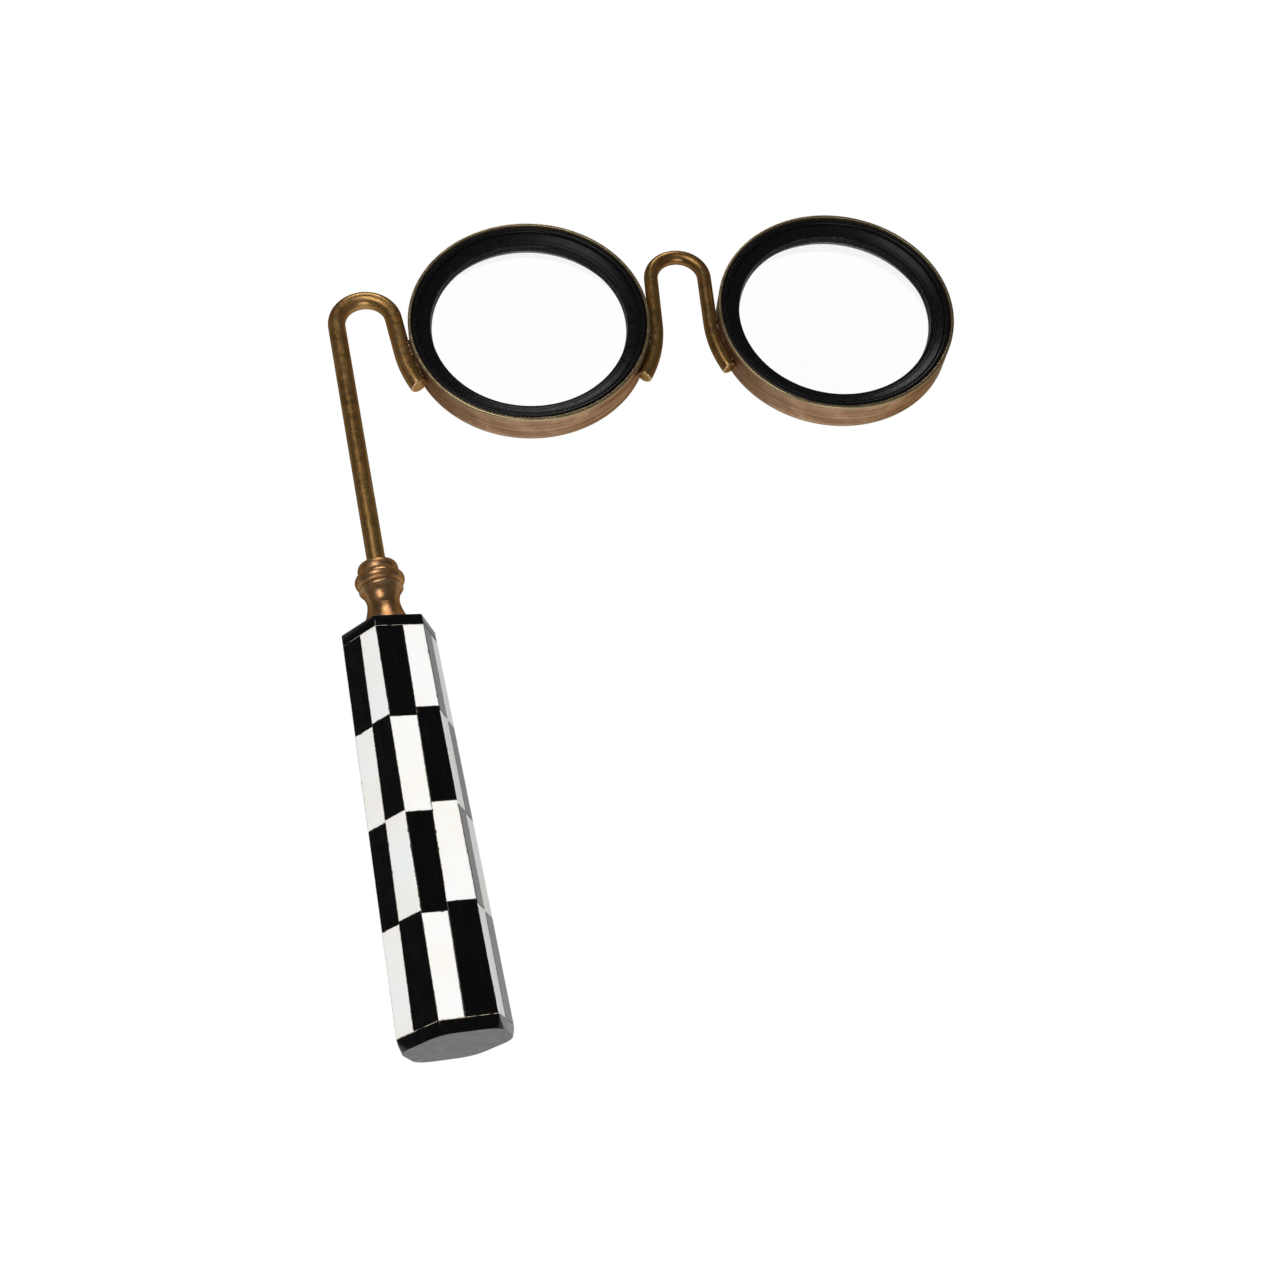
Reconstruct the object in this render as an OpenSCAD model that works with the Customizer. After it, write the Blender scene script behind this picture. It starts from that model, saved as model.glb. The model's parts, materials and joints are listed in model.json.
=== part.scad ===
// Hand-held opera glasses: two round lenses in brass rims, joined by a bent wire bridge
// and carried by a hooked brass arm on a six-sided handle inlaid with bone and horn.
// Millimetres. The glasses lie flat: +Z is the way out of the lens fronts, +X runs from
// the arm's lens to the free lens, +Y runs from the handle to the lenses. The origin is
// under the middle of the whole, level with the handle's lowest edge.

/* [Lenses and rims] */
// Distance between the two lens centres
eye_spacing = 73.6; // [70:0.2:78]
// Outside diameter of a brass rim
rim_d = 57; // [55:0.5:59]
// Height of the rim band along the lens axis
rim_h = 7.8; // [7.4:0.1:9]
// Thickness of the rim band
rim_wall = 0.7; // [0.5:0.05:0.9]
// Diameter of a lens
lens_d = 50; // [48:0.5:51]
// Thickness of a lens at its edge
lens_edge = 1.5; // [1.2:0.1:1.8]
// Radius of curvature of both faces of a lens
lens_curve = 400; // [300:10:800]
// Clear diameter through a black ring, in front of the lens
aperture_d = 46; // [44:0.1:46.4]

/* [Bridge] */
// Diameter of the bridge rod
bridge_d = 3.4; // [2.6:0.1:3.6]
// Bend radius of the arch, to the middle of the rod
bridge_r = 6.5; // [5.5:0.1:7]
// How far the centre of the arch lies above the line of the lens centres
bridge_y = 13.2; // [12:0.1:16]
// Where the bridge's left foot ends, in degrees below the line of the lens centres
bridge_tip_left = 29.5; // [20:0.5:35]
// Where its right foot ends, in the same degrees
bridge_tip_right = 26; // [20:0.5:35]

/* [Arm] */
// Diameter of the arm rod
arm_d = 4.1; // [3.2:0.1:4.4]
// Bend radius of the hook, to the middle of the rod
arm_r = 6.7; // [6:0.05:7.2]
// Distance of the hook's centre to the left of the left lens centre
arm_x = 38.5; // [38:0.1:40]
// Distance of the hook's centre above the line of the lens centres
arm_y = 3; // [2:0.1:5]
// Lean of the straight arm and the handle from the +Y direction
arm_lean = 7; // [0:0.1:12]
// Where the arm's foot ends, in degrees below the line of the lens centres
arm_tip = 29.5; // [22:0.5:36]
// Distance from the hook to the handle's top face, along the arm
arm_drop = 81.9; // [70:0.1:95]

/* [Ferrule and stud] */
// Length of the turned brass ferrule
ferrule_h = 17.1; // [16.8:0.1:18.4]
// Depth of the ferrule's socket for the arm
socket_h = 8; // [6:0.5:9]
// Diameter of the stud that the handle screws on to
stud_d = 4; // [3:0.5:4]
// Length of the stud inside the handle
stud_h = 13; // [10:0.5:16]
// Outside diameter of the threaded bush in the handle
bush_d = 7; // [6:0.5:8]
// Length of the threaded bush
bush_h = 14; // [12:0.5:18]

/* [Handle] */
// Length of the handle
handle_h = 90.1; // [80:0.1:100]
// Diameter of the circle through the six corners of the handle, at its top
handle_top_d = 20.7; // [19.6:0.1:22]
// Diameter of the circle through its six corners, at the butt
handle_end_d = 23.8; // [20:0.1:24]
// Angle by which the handle's corners are rolled away from the plane of the lenses
handle_roll = -15.8; // [-30:0.1:30]
// Thickness of the horn cap next to the ferrule
top_cap_h = 2.5; // [1.6:0.1:3]
// Thickness of the horn cap at the butt
end_cap_h = 2.7; // [2:0.1:4]
// Thickness of the bone and horn tiles
tile_t = 1.8; // [1.2:0.1:2.4]
// Number of rows of tiles
rows = 4; // [2:2:6]
// Width of the glued joint between two tiles
joint_w = 0.12; // [0.08:0.02:0.2]
// Share of a facet that its first tile takes, half way along the handle
tile_share = 0.51; // [0.4:0.01:0.6]

/* [Hidden] */
facets = 6;
columns = 2 * facets;
$fn = 96;

brass = [0.55, 0.39, 0.2];
bronze = [0.66, 0.48, 0.35];
black = [0.06, 0.055, 0.06];
bone = [0.93, 0.92, 0.87];
wood = [0.45, 0.3, 0.18];
resin = [0.42, 0.3, 0.17];
steel = [0.6, 0.6, 0.62];

slip = 0.02;                 // gap of a soldered or glued fit
run_gap = 0.05;              // radial gap between the stud and its bush
face_gap = 0.15;             // gap between the ferrule and the handle
rim_r = rim_d / 2;
bore_r = rim_r - rim_wall;   // inside radius of a rim
lens_r = lens_d / 2;
aperture_r = aperture_d / 2;

// Lens seat and rings, in heights from the middle of the rim band
lens_mid = -0.82;
function sag(r) = lens_curve - sqrt(lens_curve * lens_curve - r * r);
function face_z(r) = lens_edge / 2 + sag(lens_r) - sag(r);
face_steps = 10;             // rings of facets on each face of a lens
seat = face_z(aperture_r) + 0.05;  // from the lens's middle to the lip that holds it
lip_top = 2;
lip_lean = 0.25;             // how much wider the lip's wall is at its top
lip_edge = 0.12;             // its bevel
bead_r = 0.75;
bead_z = rim_h / 2 - 1.1;
groove = 0.2;
groove_z = bead_z - groove;
groove_r = bore_r - 2 * bead_r - groove;
funnel_top = bead_z + 0.15;
funnel_end = [aperture_r + lip_lean + lip_edge, lip_top];
rear_z = -rim_h / 2 + 0.35;
rear_r = lens_r - 0.7;       // clear radius through the rear ring
rear_seat = face_z(rear_r) + 0.05;
rear_lip = 0.5;              // thickness of the rear ring at its clear radius
rear_flat = 1.8;             // width of its flat back

// Bends of the rods, in degrees round the lens centres
arm_foot_r = rim_r + slip + arm_d / 2;
arm_reach = norm([arm_x, arm_y]);
arm_touch = 180 - atan(arm_y / arm_x) + acos((arm_r + arm_foot_r) / arm_reach);
bridge_foot_r = rim_r + slip + bridge_d / 2;
bridge_reach = norm([eye_spacing / 2, bridge_y]);
bridge_touch = atan(2 * bridge_y / eye_spacing)
    - acos((bridge_r + bridge_foot_r) / bridge_reach);
bend_sag = 0.01;             // how far a swept rod's chords leave the true bend
function bend_step(r) = 2 * acos(1 - bend_sag / r);
rod_sides = 24;
round_end = [[0.25, 0.93], [0.45, 0.74]];  // [further along, share of the radius]
solder_w = 0.8;              // how far a bead of solder reaches from the rim
solder_h = 1;                // its height
solder_z = 1;                // height of its middle above the middle of the rod
solder_end = 2;              // degrees by which it stops short of the end of a rod
cut_past = 5;                // degrees by which its groove runs on past its ends
stud_root = 8;               // length of the stud inside the ferrule
bed_t = 0.2;                 // thickness of the resin under the tiles

// Where the handle starts, from the left lens centre
hook_end = [-arm_x - arm_r * cos(arm_lean), arm_y - arm_r * sin(arm_lean)];
handle_top = hook_end + arm_drop * [sin(arm_lean), -cos(arm_lean)];
handle_end = handle_top + handle_h * [sin(arm_lean), -cos(arm_lean)];

// Rows of tiles: where they start and end, and how much each column was cut early
tile_top = top_cap_h + joint_w;
tile_end = handle_h - end_cap_h - joint_w;
row_h = (tile_end - tile_top) / rows;
early = [0.6, 0.9, 1.8, 0, 0.5, 0, 0.4, 1.1, 0.2, 0.8, 0.1, 0.5];

// The hand-cut line between a facet's two tiles: how far it is off, and its slant end to end
uneven = [-0.01, -0.01, 0.02, 0, -0.01, 0.01];
slant = [0.11, 0.15, 0.13, 0.09, 0.12, 0.05];
function share(k, z) = tile_share + uneven[k] + slant[k] * (z / handle_h - 0.5);
function outer_d(z) = handle_top_d + (handle_end_d - handle_top_d) * z / handle_h;
function inner_d(z) = outer_d(z) - 2 * tile_t / cos(30);
function core_d(z) = inner_d(z) - 2 * bed_t / cos(30);
cap_top_d = outer_d(top_cap_h);
cap_end_d = outer_d(handle_h - end_cap_h);

// The whole is moved so that the origin is under the middle of its bounding box
corner_u = cap_end_d / 2 * max([for (k = [1:facets]) cos(handle_roll + 60 * k)]);
corner_z = cap_end_d / 2 * max([for (k = [1:facets]) sin(handle_roll + 60 * k)]);
left_x = -arm_x - arm_r - arm_d / 2;
right_x = eye_spacing + rim_r;
low_y = handle_end.y - corner_u * sin(arm_lean);
to_origin = [-(left_x + right_x) / 2, -(low_y + rim_r) / 2, corner_z];

// ---- placing ----

function around(r, a) = [r * cos(a), r * sin(a)];

module at_eye(side) translate(to_origin + [side * eye_spacing, 0, 0]) children();

// +Z of the children runs down the handle from its top face, +X across, +Y up
module on_handle() translate(to_origin + [handle_top.x, handle_top.y, 0])
    rotate([90, 0, arm_lean]) children();

// ---- rims, rings and lenses ----

module rim() color(bronze) difference() {
    cylinder(h = rim_h, r = rim_r, center = true);
    cylinder(h = rim_h + 2, r = bore_r, center = true);
}

// Round bead at the rim, a fine groove, then a dished funnel down to the lip
module front_ring() color(black) rotate_extrude() polygon(concat(
    [[bore_r, lens_mid]],
    [for (a = [0:30:180]) [bore_r - bead_r, bead_z] + around(bead_r, a)],
    [[bore_r - 2 * bead_r, groove_z], [groove_r, groove_z]],
    [for (t = [0:0.125:1]) [
        groove_r + t * (funnel_end.x - groove_r),
        funnel_end.y + (funnel_top - funnel_end.y) * pow(1 - t, 1.5)]],
    [[aperture_r + lip_lean, lip_top - lip_edge],
     [aperture_r, lens_mid + seat], [lens_r + slip, lens_mid + seat],
     [lens_r + slip, lens_mid]]));

module rear_ring() color(black) rotate_extrude() polygon([
    [bore_r, lens_mid], [lens_r + slip, lens_mid], [lens_r + slip, lens_mid - rear_seat],
    [rear_r, lens_mid - rear_seat], [rear_r, lens_mid - rear_seat - rear_lip],
    [bore_r - rear_flat, rear_z], [bore_r, rear_z]]);

// Two equal faces of radius lens_curve on a straight edge
module lens() color([0.85, 0.92, 0.95, 0.35]) translate([0, 0, lens_mid])
    rotate_extrude() polygon(concat(
        [for (i = [0:face_steps]) let (r = lens_r * i / face_steps) [r, face_z(r)]],
        [for (i = [face_steps:-1:0]) let (r = lens_r * i / face_steps) [r, -face_z(r)]]));

// ---- rods ----

// A rod is swept through stations [x, y, heading, radius] that lie in the lens plane
function turn(c, r, from, to, d) = let (n = ceil(abs(to - from) / bend_step(r))) [
    for (i = [0:n]) let (a = from + (to - from) * i / n, p = c + around(r, a))
        [p.x, p.y, a + sign(to - from) * 90, d / 2]];

// Rounding of a free end: a little further along, on a smaller radius
function past(s, way) = [for (e = round_end)
    [s.x + way * e[0] * cos(s[2]), s.y + way * e[0] * sin(s[2]), s[2], s[3] * e[1]]];
function reversed(v) = [for (i = [len(v) - 1:-1:0]) v[i]];
function last(v) = v[len(v) - 1];

module sweep(stations) {
    n = rod_sides;
    m = len(stations);
    points = [for (s = stations) for (k = [0:n - 1]) let (t = 360 * k / n)
        [s.x - s[3] * cos(t) * sin(s[2]), s.y + s[3] * cos(t) * cos(s[2]), s[3] * sin(t)]];
    sides = [for (i = [0:m - 2]) for (k = [0:n - 1]) let (l = (k + 1) % n)
        [i * n + k, i * n + l, (i + 1) * n + l, (i + 1) * n + k]];
    polyhedron(points, concat(
        [[for (k = [n - 1:-1:0]) k]], sides, [[for (k = [0:n - 1]) (m - 1) * n + k]]));
}

module arm_rod() color(brass) at_eye(0) {
    foot = turn([0, 0], arm_foot_r, arm_touch, 180 + arm_tip, arm_d);
    in_socket = hook_end
        + (arm_drop - ferrule_h + socket_h) * [sin(arm_lean), -cos(arm_lean)];
    sweep(concat(
        [[in_socket.x, in_socket.y, 90 + arm_lean, arm_d / 2]],
        turn([-arm_x, arm_y], arm_r, 180 + arm_lean, arm_touch - 180, arm_d),
        foot, past(last(foot), 1)));
}

module bridge_rod() color(brass) at_eye(0) {
    left = turn([0, 0], bridge_foot_r, -bridge_tip_left, bridge_touch, bridge_d);
    right = turn([eye_spacing, 0], bridge_foot_r, 180 - bridge_touch, 180 + bridge_tip_right,
        bridge_d);
    sweep(concat(
        reversed(past(left[0], -1)), left,
        turn([eye_spacing / 2, bridge_y], bridge_r, 180 + bridge_touch, -bridge_touch,
            bridge_d),
        right, past(last(right), 1)));
}

module bend(r, d, from, to) rotate([0, 0, from]) rotate_extrude(angle = to - from)
    translate([r, 0]) circle(d = d);

// Two beads of solder, above and below the line where a foot touches a rim
module solder(foot_r, d, from, to) color(brass) difference() {
    for (s = [-1, 1]) rotate([0, 0, from]) rotate_extrude(angle = to - from)
        translate([rim_r + slip, s * solder_z - solder_h / 2]) square([solder_w, solder_h]);
    bend(foot_r, d + 3 * slip, from - cut_past, to + cut_past);
}

// ---- ferrule and stud ----

// Turned profile from the foot at the handle to the lip round the arm
module ferrule() color(brass) on_handle() difference() {
    rotate_extrude() polygon(concat(
        [[0, -face_gap], [5.8, -face_gap], [6, -0.3], [6, -0.6], [5.7, -0.9], [5.3, -1.7],
         [4.7, -3], [4.15, -4.5], [3.75, -6], [3.55, -7.3], [3.65, -8.3], [4, -9.4],
         [4.5, -10.2], [4.8, -10.5], [4.85, -11], [4.6, -11.3]],
        [for (a = [-60:20:60]) [3.85 + 1.6 * cos(a), -13 + 1.6 * sin(-a)]],
        [[4.45, -14.7], [4.4, -16.1], [4.15, -16.8], [3.7, -ferrule_h], [0, -ferrule_h]]));
    translate([0, 0, -ferrule_h - 1]) cylinder(h = socket_h + 1, d = arm_d + 2 * slip);
    translate([0, 0, -stud_root]) cylinder(h = stud_root, d = stud_d);
}

module handle_stud() color(steel) on_handle()
    translate([0, 0, -stud_root]) cylinder(h = stud_root + stud_h, d = stud_d);

// ---- handle ----

// Corner of the handle's section, and a point a share of the way to the next corner
function corner(d, k) = around(d / 2, handle_roll + 60 * k);
function part_way(d, k, share) = corner(d, k) + share * (corner(d, k + 1) - corner(d, k));
function hexagon(d, z) = [for (k = [0:facets - 1]) [corner(d, k).x, corner(d, k).y, z]];

module hex_prism(d, from, to) rotate([0, 0, handle_roll]) translate([0, 0, from])
    cylinder(h = to - from, d = d, $fn = facets);

// Faces of a block through two rings of n points, and of a tube through four: up its
// outside and back down its inside
function bands(n, first, second) = [for (k = [0:n - 1]) let (l = (k + 1) % n)
    [first * n + k, second * n + k, second * n + l, first * n + l]];
function block(n) = concat([[for (k = [0:n - 1]) k]], [[for (k = [n - 1:-1:0]) n + k]],
    bands(n, 0, 1));
function tube(n) = [for (i = [0:3]) for (face = bands(n, i, (i + 1) % 4)) face];

module handle_core() color(wood) on_handle() difference() {
    from = top_cap_h;
    to = handle_h - end_cap_h;
    polyhedron(concat(hexagon(core_d(from), from), hexagon(core_d(to), to)), block(facets));
    cylinder(h = bush_h, d = bush_d);
}

module handle_bush() color(brass) on_handle() difference() {
    cylinder(h = bush_h, d = bush_d);
    translate([0, 0, -1]) cylinder(h = bush_h + 2, d = stud_d + 2 * run_gap);
}

module resin_bed() color(resin) on_handle() {
    from = top_cap_h;
    to = handle_h - end_cap_h;
    polyhedron(concat(hexagon(inner_d(from), from), hexagon(inner_d(to), to),
            hexagon(core_d(to), to), hexagon(core_d(from), from)), tube(facets));
}

module top_cap() color(black) on_handle() difference() {
    hex_prism(cap_top_d, 0, top_cap_h);
    translate([0, 0, -1]) cylinder(h = top_cap_h + 2, d = bush_d);
}

module end_cap() color(black) on_handle() hex_prism(cap_end_d, handle_h - end_cap_h, handle_h);

// Line of the cut above row r in column c; row 0 starts at the top cap
function cut(r, c) = tile_top + r * row_h - (r == 0 || r == rows ? 0 : early[c - 1]);

// Cross-section of a tile at a height: the first or second share of a facet, less half a
// joint. It is mitred at the handle's corner and cut square to the facet at its other side.
function tile_section(c, z) =
    let (k = floor((c - 1) / 2),
         side = corner(1, k + 1) - corner(1, k),
         gap = joint_w / 2 * side / norm(side),
         inward = -tile_t * around(1, handle_roll + 60 * k + 30),
         line = part_way(outer_d(z), k, share(k, z)),
         a = corner(outer_d(z), k) + gap,
         b = corner(inner_d(z), k) + gap,
         d = corner(outer_d(z), k + 1) - gap,
         e = corner(inner_d(z), k + 1) - gap)
    [for (p = c % 2 == 1 ? [a, line - gap, line - gap + inward, b]
                         : [line + gap, d, e, line + gap + inward])
        [p.x, p.y, z]];

// The tiles of one kind in one column: every other row
module tiles(c, first_row) on_handle() for (r = [first_row:2:rows - 1]) {
    from = cut(r, c);
    to = cut(r + 1, c) - (r == rows - 1 ? 0 : joint_w);
    polyhedron(concat(tile_section(c, from), tile_section(c, to)), block(4));
}

module bone_tiles(c) color(bone) tiles(c, (c + 1) % 2);
module horn_tiles(c) color(black) tiles(c, c % 2);

// ---- nodes ----

at_eye(0) rim();  // left_rim
at_eye(1) rim();  // right_rim
at_eye(0) front_ring();  // left_front_ring
at_eye(1) front_ring();  // right_front_ring
at_eye(0) rear_ring();  // left_rear_ring
at_eye(1) rear_ring();  // right_rear_ring
at_eye(0) lens();  // left_lens
at_eye(1) lens();  // right_lens
bridge_rod();
at_eye(0) solder(bridge_foot_r, bridge_d, solder_end - bridge_tip_left, bridge_touch);  // left_bridge_solder
at_eye(1) mirror([1, 0, 0])  // right_bridge_solder
    solder(bridge_foot_r, bridge_d, solder_end - bridge_tip_right, bridge_touch);
arm_rod();
at_eye(0) solder(arm_foot_r, arm_d, arm_touch, 180 + arm_tip - solder_end);  // arm_solder
ferrule();
handle_stud();
handle_core();
handle_bush();
resin_bed();
top_cap();
end_cap();
for (c = [1:columns]) bone_tiles(c);
for (c = [1:columns]) horn_tiles(c);
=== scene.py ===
import json
import math
import random

import bmesh
import bpy
from mathutils import Matrix, Quaternion, Vector, noise

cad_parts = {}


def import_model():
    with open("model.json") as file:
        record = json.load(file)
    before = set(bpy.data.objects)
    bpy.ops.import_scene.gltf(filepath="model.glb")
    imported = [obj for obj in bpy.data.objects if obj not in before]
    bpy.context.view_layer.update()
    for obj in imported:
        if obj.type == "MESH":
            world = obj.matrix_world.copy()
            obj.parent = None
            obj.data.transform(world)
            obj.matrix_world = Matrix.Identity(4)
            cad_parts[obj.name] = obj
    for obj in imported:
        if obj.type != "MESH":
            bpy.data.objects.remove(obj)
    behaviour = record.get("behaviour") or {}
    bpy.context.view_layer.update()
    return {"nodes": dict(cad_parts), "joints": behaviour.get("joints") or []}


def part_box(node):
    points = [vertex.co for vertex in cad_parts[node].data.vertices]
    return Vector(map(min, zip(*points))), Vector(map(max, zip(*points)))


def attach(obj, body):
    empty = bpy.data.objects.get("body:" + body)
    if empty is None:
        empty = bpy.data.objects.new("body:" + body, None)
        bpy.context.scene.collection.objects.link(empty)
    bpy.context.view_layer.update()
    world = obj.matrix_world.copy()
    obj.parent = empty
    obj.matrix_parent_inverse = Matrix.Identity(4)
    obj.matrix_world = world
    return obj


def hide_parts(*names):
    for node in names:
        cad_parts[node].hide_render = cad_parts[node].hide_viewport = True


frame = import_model()
MM = 0.001

# ---------------------------------------------------------------- places

EYES = [sum(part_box(n), Vector()) / 2 for n in ("left_rim", "right_rim")]
turn_joint = frame["joints"][0]
AXIS = Vector(turn_joint["axis"]).normalized()
UP = Vector((0, 0, 1))
ACROSS = UP.cross(AXIS)
HANDLE = Matrix.Translation(turn_joint["pos_m"]) @ Matrix((ACROSS, UP, AXIS)).transposed().to_4x4()
GLASSES = [Matrix.Translation(e) for e in EYES]

# Sizes are in mm: the rims, lenses and rods from the middle of a rim, the handle's down from its top.
RIM_R, BORE_R, HALF_RIM_H = 28.5, 27.8, 3.9
LENS_R, LENS_MID, SEAT_R = 25.0, -0.82, 25.02
BRIDGE_R, ARM_R = 1.7, 2.05
SLIP = 0.02
LENGTH, TOP_CAP, END_CAP = 90.1, 2.5, 2.7


# ---------------------------------------------------------------- shader helpers

def add(tree, kind, values=(), **props):
    node = tree.nodes.new(kind)
    for key, value in props.items():
        setattr(node, key, value)
    for key, value in dict(values).items():
        socket = node.inputs[key]
        if isinstance(value, bpy.types.NodeSocket):
            tree.links.new(value, socket)
        else:
            socket.default_value = value
    return node


class Shader:
    """A Principled material and short names for the nodes that feed it."""

    def __init__(self, name):
        self.material = bpy.data.materials.new(name)
        self.material.use_nodes = True
        self.tree = self.material.node_tree
        self.tree.nodes.clear()
        self.bsdf = add(self.tree, "ShaderNodeBsdfPrincipled")
        out = add(self.tree, "ShaderNodeOutputMaterial")
        self.tree.links.new(self.bsdf.outputs[0], out.inputs[0])
        local = add(self.tree, "ShaderNodeTexCoord").outputs["Object"]
        self.mm = self.vector("SCALE", local, Scale=1000.0)

    def set(self, **values):
        for key, value in values.items():
            socket = self.bsdf.inputs[key.replace("_", " ")]
            if isinstance(value, bpy.types.NodeSocket):
                self.tree.links.new(value, socket)
            else:
                socket.default_value = value
        return self

    def math(self, op, a, b=0.0, c=0.0, clamp=False):
        n = add(self.tree, "ShaderNodeMath", {0: a, 1: b, 2: c}, operation=op)
        n.use_clamp = clamp
        return n.outputs[0]

    def vector(self, op, a, b=None, **named):
        values = {0: a, **named}
        if b is not None:
            values[1] = b
        n = add(self.tree, "ShaderNodeVectorMath", values, operation=op)
        return n.outputs["Value" if op in ("LENGTH", "DOT_PRODUCT") else "Vector"]

    def split(self, v):
        return add(self.tree, "ShaderNodeSeparateXYZ", {0: v}).outputs

    def join(self, x, y, z):
        return add(self.tree, "ShaderNodeCombineXYZ", {0: x, 1: y, 2: z}).outputs[0]

    def attribute(self, name, kind="Fac"):
        return add(self.tree, "ShaderNodeAttribute", attribute_name=name).outputs[kind]

    def noise(self, at, scale, detail=2.0, rough=0.5, warp=0.0):
        return add(self.tree, "ShaderNodeTexNoise", {
            "Vector": at, "Scale": scale, "Detail": detail, "Roughness": rough,
            "Distortion": warp}).outputs[0]

    def cells(self, at, scale):
        return add(self.tree, "ShaderNodeTexVoronoi", {"Vector": at, "Scale": scale}).outputs["Distance"]

    def span(self, x, low, high, to_low=0.0, to_high=1.0):
        return add(self.tree, "ShaderNodeMapRange", {
            0: x, 1: low, 2: high, 3: to_low, 4: to_high}, clamp=True,
            interpolation_type="SMOOTHSTEP").outputs[0]

    def ramp(self, x, *stops):
        n = add(self.tree, "ShaderNodeValToRGB", {0: x})
        marks = n.color_ramp.elements
        while len(marks) < len(stops):
            marks.new(0.5)
        for mark, (place, colour) in zip(marks, stops):
            mark.position = place
            mark.color = (*colour, 1.0)
        return n.outputs[0]

    def mix(self, amount, a, b):
        n = add(self.tree, "ShaderNodeMix", {0: amount}, data_type="RGBA")
        for socket, value in ((n.inputs[6], a), (n.inputs[7], b)):
            if isinstance(value, bpy.types.NodeSocket):
                self.tree.links.new(value, socket)
            else:
                socket.default_value = (*value, 1.0)
        return n.outputs[2]

    def bump(self, height, distance_mm, normal=None, strength=1.0):
        n = add(self.tree, "ShaderNodeBump", {
            "Height": height, "Distance": distance_mm * MM, "Strength": strength})
        if normal is not None:
            self.tree.links.new(normal, n.inputs["Normal"])
        return n.outputs[0]

    def round_lines(self, fine, coarse=0.05):
        """Where a turned part is cut: almost the same all the way round, fast-changing across the cut."""
        x, y, z = self.split(self.mm)
        out = self.math("SQRT", self.math("ADD", self.math("MULTIPLY", x, x),
                                          self.math("MULTIPLY", y, y)))
        across = self.math("MULTIPLY", self.math("ADD", z, out), fine)
        return self.join(self.math("MULTIPLY", x, coarse), self.math("MULTIPLY", y, coarse), across)


# ---------------------------------------------------------------- materials

def aged_brass(name, lines, dark, middle, light, worn, shine, edge=(0.35, 0.26, 0.16), metal=1.0, relief=1.0,
               tone_and_sheen_bands=0.3, seed=0.0):
    """Brass under a thin brown patina: blotches, lines of the cut, worn bright edges and dark patina in
    creases, with painted glints and painted shade on the solder.

    lines gives the noise coordinates of the cut; shine is the least roughness and edge the grazing tint.
    Light and dark bands follow the cut: weak, they are the metal's own tone; strong, as on the rim band,
    they are painted highlight and painted shade as well.
    """
    s = Shader(name)
    at = s.vector("ADD", s.mm, (seed, 2 * seed, -seed))
    blotch = s.noise(at, 0.2, 2.0, 0.5, 0.3)
    cloud = s.noise(at, 0.7, 2.0, 0.5)
    speck = s.noise(at, 5.0, 2.0, 0.6)
    line = s.noise(lines(s), 1.0, 3.0, 0.65)
    colour = s.ramp(blotch, (0.30, dark), (0.52, middle), (0.75, light))
    colour = s.mix(s.span(cloud, 0.35, 0.7, 0.0, 0.55), colour,
                   tuple(c * m for c, m in zip(middle, (1.15, 0.92, 0.78))))
    # Light and dark bands along the cut: the metal's own tone, and where turned up strong (the rim band)
    # painted highlight and painted shade.
    colour = s.mix(s.span(line, 0.45, 0.7, 0.0, tone_and_sheen_bands), colour, light)
    colour = s.mix(s.span(line, 0.5, 0.3, 0.0, tone_and_sheen_bands), colour, dark)
    colour = s.mix(s.span(speck, 0.62, 0.78, 0.0, 0.4 * relief), colour, tuple(c * 0.45 for c in dark))
    # Worn colour on rubbed edges, and on the solder's upper lump tops painted glints too.
    bright = s.math("MULTIPLY", s.attribute("wear_and_solder_glint"), s.span(blotch, 0.3, 0.6, 0.7, 1.0))
    colour = s.mix(bright, colour, worn)
    # Near-black, rougher and less metallic where this mask is set: patina in the ferrule's creases and
    # socket, painted shade in the solder joints.
    patina_and_solder_shade = s.attribute("patina_and_solder_shade")
    colour = s.mix(patina_and_solder_shade, colour, (0.022, 0.012, 0.006))
    rough = s.math("ADD", s.span(cloud, 0.3, 0.7, shine, shine + 0.14),
                   s.span(line, 0.3, 0.7, -0.04, 0.05))
    rough = s.math("SUBTRACT", rough, s.math("MULTIPLY", bright, 0.12))
    rough = s.math("ADD", rough, s.math("MULTIPLY", patina_and_solder_shade, 0.25), clamp=True)
    normal = s.bump(line, 0.006 * relief)
    normal = s.bump(cloud, 0.015 * relief, normal)
    normal = s.bump(speck, 0.004 * relief, normal)
    s.set(Base_Color=colour, Roughness=rough, Metallic=s.math("SUBTRACT", metal, s.math(
        "MULTIPLY", patina_and_solder_shade, 0.7 * metal)), Normal=normal)
    s.bsdf.inputs["Specular Tint"].default_value = (*edge, 1.0)
    return s.material


def rim_lines(s):
    """Long soft lines round the band, set strong on the rim: its tone, and painted highlight and painted
    shade.
    """
    return s.round_lines(1.7, 0.03)


def turned_lines(s):
    """Closer lines, as a lathe tool leaves them."""
    return s.round_lines(6.0)


def rod_lines(s):
    """Streaks drawn out along a bent rod."""
    x, y, z = s.split(s.attribute("straight", "Vector"))
    return s.join(s.math("MULTIPLY", x, 1.3), s.math("MULTIPLY", y, 1.3),
                  s.math("MULTIPLY", z, 0.10))


def plain_lines(s):
    """No cut: an even grain."""
    return s.vector("SCALE", s.mm, Scale=2.2)


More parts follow.
